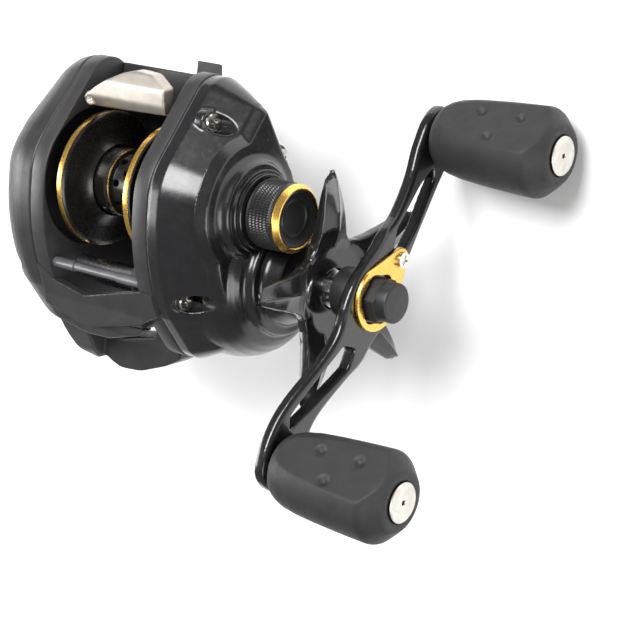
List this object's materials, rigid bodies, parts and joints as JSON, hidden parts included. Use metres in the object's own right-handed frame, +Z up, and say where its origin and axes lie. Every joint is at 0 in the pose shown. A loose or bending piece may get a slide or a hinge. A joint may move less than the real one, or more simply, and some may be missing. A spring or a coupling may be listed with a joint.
{
  "type": "baitcasting reel",
  "caption": "Low-profile baitcasting fishing reel with side handle, star drag, level wind, thumb bar clutch and cast controls.",
  "frame": {"origin": "centre of the seat face under the reel foot", "axes": "+X to the rod tip, +Y to the handle side along the spool axis, +Z up from the rod"},
  "size_m": [0.0928, 0.1304, 0.0776],
  "materials": {
    "body_satin": "satin",
    "cover_satin": "satin",
    "cover_gloss": "gloss",
    "foot_metal": "satin",
    "screw_steel": "polished",
    "bar_grey": "satin",
    "shaft_steel": "ground",
    "bearing_steel": "polished",
    "spring_steel": "satin",
    "plate_steel": "satin",
    "bushing_bronze": "sintered",
    "seal_rubber": "matt",
    "gear_nylon": "moulded",
    "gear_brass": "machined",
    "drag_fibre": "woven carbon",
    "handle_gloss": "gloss black anodised",
    "gold_anodised": "gold anodised",
    "nut_grey": "matt black anodised",
    "knob_rubber": "soft touch",
    "cap_steel": "turned",
    "spool_black": "black anodised",
    "ring_alloy": "machined",
    "thumb_silver": "satin silver",
    "guide_plastic": "moulded",
    "insert_ceramic": "polished ceramic",
    "cap_black": "knurled black anodised",
    "magnet_grey": "moulded with magnets"
  },
  "bodies": {
    "reel_frame": {"frame": "body_satin", "reel_foot": "foot_metal", "foot_screws": "screw_steel", "guide_bar": "bar_grey", "guide_rod": "shaft_steel", "palm_side_plate": "cover_satin", "palm_plate_screws": "screw_steel", "palm_bearing": "bearing_steel", "palm_bearing_clip": "spring_steel", "gear_side_plate": "cover_gloss", "side_plate_screws": "screw_steel", "set_plate": "plate_steel", "pinion_bearing": "bearing_steel", "shaft_bushing": "bushing_bronze", "worm_bushings": "guide_plastic", "yoke_posts": "shaft_steel", "one_way_bearing": "bearing_steel", "cap_bearing": "bearing_steel", "cap_o_ring": "seal_rubber"},
    "crank": {"drive_shaft": "shaft_steel", "ratchet_wheel": "plate_steel", "level_wind_gear": "gear_nylon", "main_gear": "gear_brass", "drag_washers": "drag_fibre", "drag_plates": "plate_steel", "one_way_sleeve": "shaft_steel", "spring_washers": "spring_steel", "handle_arm": "handle_gloss", "nut_plate": "gold_anodised", "nut_plate_screw": "screw_steel", "handle_nut": "nut_grey", "knob_posts": "shaft_steel"},
    "star_drag": {"star_wheel": "handle_gloss", "star_nut": "shaft_steel"},
    "knob_a": {"knob_a_grip": "knob_rubber", "knob_a_bushings": "bushing_bronze", "knob_a_cap": "cap_steel"},
    "knob_b": {"knob_b_grip": "knob_rubber", "knob_b_bushings": "bushing_bronze", "knob_b_cap": "cap_steel"},
    "spool_body": {"spool": "spool_black", "spool_shaft": "shaft_steel", "spool_pin": "shaft_steel", "brake_ring": "ring_alloy"},
    "yoke_body": {"yoke": "plate_steel", "yoke_springs": "spring_steel"},
    "pinion_body": {"pinion": "gear_brass"},
    "cam_body": {"clutch_cam": "plate_steel"},
    "thumb_body": {"thumb_bar": "thumb_silver"},
    "worm_body": {"worm_shaft": "shaft_steel", "worm_gear": "gear_nylon", "worm_clip": "spring_steel"},
    "guide_body": {"line_guide": "guide_plastic", "line_guide_insert": "insert_ceramic", "guide_pawl": "gear_brass", "pawl_cap": "guide_plastic"},
    "tension_body": {"tension_cap": "cap_black", "tension_ring": "gold_anodised"},
    "dial_body": {"brake_dial": "cap_black"},
    "magnet_body": {"magnet_holder": "magnet_grey"}
  },
  "joints": [
    {"name": "handle_spin", "type": "hinge", "parent": "reel_frame", "child": "crank", "pos_m": [0.0135, 0.06, 0.0153], "axis": [0, 1, 0], "continuous": true},
    {"name": "star_turn", "type": "hinge", "parent": "crank", "child": "star_drag", "pos_m": [0.0135, 0.052, 0.0153], "axis": [0, 1, 0], "range_deg": [-270, 270]},
    {"name": "knob_a_spin", "type": "hinge", "parent": "crank", "child": "knob_a", "pos_m": [0.04779, 0.08, 0.04287], "axis": [0, 1, 0], "continuous": true},
    {"name": "knob_b_spin", "type": "hinge", "parent": "crank", "child": "knob_b", "pos_m": [-0.02079, 0.08, -0.01227], "axis": [0, 1, 0], "continuous": true},
    {"name": "spool_spin", "type": "hinge", "parent": "reel_frame", "child": "spool_body", "pos_m": [-0.004, 0, 0.025], "axis": [0, 1, 0], "continuous": true},
    {"name": "thumb_press", "type": "slide", "parent": "reel_frame", "child": "thumb_body", "axis": [0, 0, -1], "range_m": [0, 0.0045]},
    {"name": "yoke_slide", "type": "slide", "parent": "reel_frame", "child": "yoke_body", "axis": [0, 1, 0], "range_m": [0, 0.0016], "deforming": ["yoke_springs"]},
    {"name": "cam_turn", "type": "hinge", "parent": "reel_frame", "child": "cam_body", "pos_m": [-0.004, 0.0205, 0.025], "axis": [0, 1, 0], "range_deg": [0, 12.5]},
    {"name": "pinion_spin", "type": "hinge", "parent": "yoke_body", "child": "pinion_body", "pos_m": [-0.004, 0.028, 0.025], "axis": [0, 1, 0], "continuous": true},
    {"name": "worm_spin", "type": "hinge", "parent": "reel_frame", "child": "worm_body", "pos_m": [0.0175, 0, 0.03], "axis": [0, 1, 0], "continuous": true},
    {"name": "guide_travel", "type": "slide", "parent": "reel_frame", "child": "guide_body", "axis": [0, 1, 0], "range_m": [-0.018, 0.0005]},
    {"name": "tension_turn", "type": "hinge", "parent": "reel_frame", "child": "tension_body", "pos_m": [-0.004, 0.045, 0.025], "axis": [0, 1, 0], "range_deg": [-360, 360]},
    {"name": "brake_turn", "type": "hinge", "parent": "reel_frame", "child": "dial_body", "pos_m": [-0.004, -0.033, 0.025], "axis": [0, 1, 0], "range_deg": [0, 180]},
    {"name": "magnet_slide", "type": "slide", "parent": "reel_frame", "child": "magnet_body", "axis": [0, 1, 0], "range_m": [0, 0.0025]}
  ],
  "couplings": [
    {"joint": "spool_spin", "follows": "handle_spin", "ratio": -7.1},
    {"joint": "pinion_spin", "follows": "handle_spin", "ratio": -7.1},
    {"joint": "worm_spin", "follows": "handle_spin", "ratio": -3.2857},
    {"joint": "yoke_slide", "follows": "thumb_press", "ratio": 0.35556},
    {"joint": "cam_turn", "follows": "thumb_press", "rad_per_m": 46.5},
    {"joint": "magnet_slide", "follows": "brake_turn", "m_per_rad": 0.000795}
  ]
}
